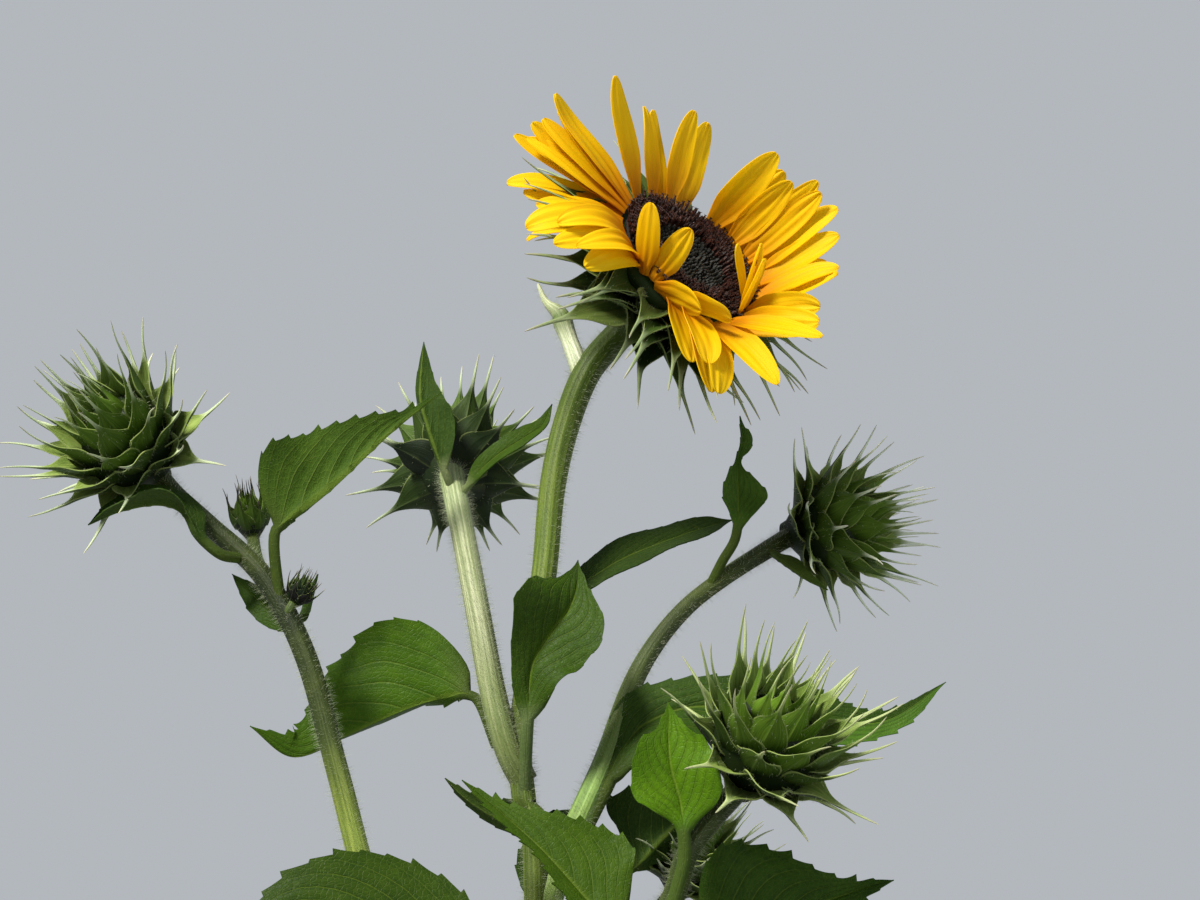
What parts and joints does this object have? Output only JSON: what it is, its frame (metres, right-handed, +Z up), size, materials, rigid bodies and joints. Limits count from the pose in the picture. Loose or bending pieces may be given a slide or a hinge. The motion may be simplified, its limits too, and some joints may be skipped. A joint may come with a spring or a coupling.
{
  "type": "sunflower plant",
  "caption": "Branching sunflower plant rooted in the ground: an open yellow bloom, closed green buds, and broad leaves on ridged, hairy stems.",
  "frame": {"origin": "centre of the flat cut under the main stem, on the ground", "axes": "+Z up along the main stem, +X to the right and +Y to the back as the plant is seen from its front"},
  "size_m": [0.534, 0.4633, 1.7221],
  "materials": {
    "stem": "green ridged bark with fine pale hairs, satin",
    "leaf": "matt green blade with raised pale veins and short hairs",
    "bract": "matt dark green with pale fringed edges and pale tips",
    "ray": "satin yellow, grooved lengthwise, orange towards the foot",
    "disc": "matt brown-black florets",
    "stub": "pale dry skin with fine hairs"
  },
  "bodies": {
    "root": {"bloom_base": "bract", "bloom_disc": "disc", "bloom_rays": "ray", "bud_centre": "bract", "bud_front": "bract", "bud_hidden": "bract", "bud_left": "bract", "bud_right": "bract", "bud_small": "bract", "bud_tiny": "bract", "leaf_behind_centre": "leaf", "leaf_behind_fork": "leaf", "leaf_behind_front": "leaf", "leaf_behind_stem": "leaf", "leaf_bud_lower": "leaf", "leaf_bud_sheath": "leaf", "leaf_bud_upper": "leaf", "leaf_centre": "leaf", "leaf_front": "leaf", "leaf_left_middle": "leaf", "leaf_left_top": "leaf", "leaf_low_front": "leaf", "leaf_low_left": "leaf", "leaf_low_right": "leaf", "leaf_lower_01": "leaf", "leaf_lower_02": "leaf", "leaf_lower_03": "leaf", "leaf_lower_04": "leaf", "leaf_lower_05": "leaf", "leaf_lower_06": "leaf", "leaf_lower_07": "leaf", "leaf_lower_08": "leaf", "leaf_lower_09": "leaf", "leaf_right_top": "leaf", "leaf_right_under": "leaf", "leaf_small_left": "leaf", "leaf_small_right": "leaf", "leaf_under_bud": "leaf", "stalk_small": "stem", "stalk_tiny": "stem", "stem_centre": "stem", "stem_front": "stem", "stem_hidden": "stem", "stem_left": "stem", "stem_main": "stem", "stem_right": "stem", "stub_dry": "stub"}
  },
  "joints": []
}
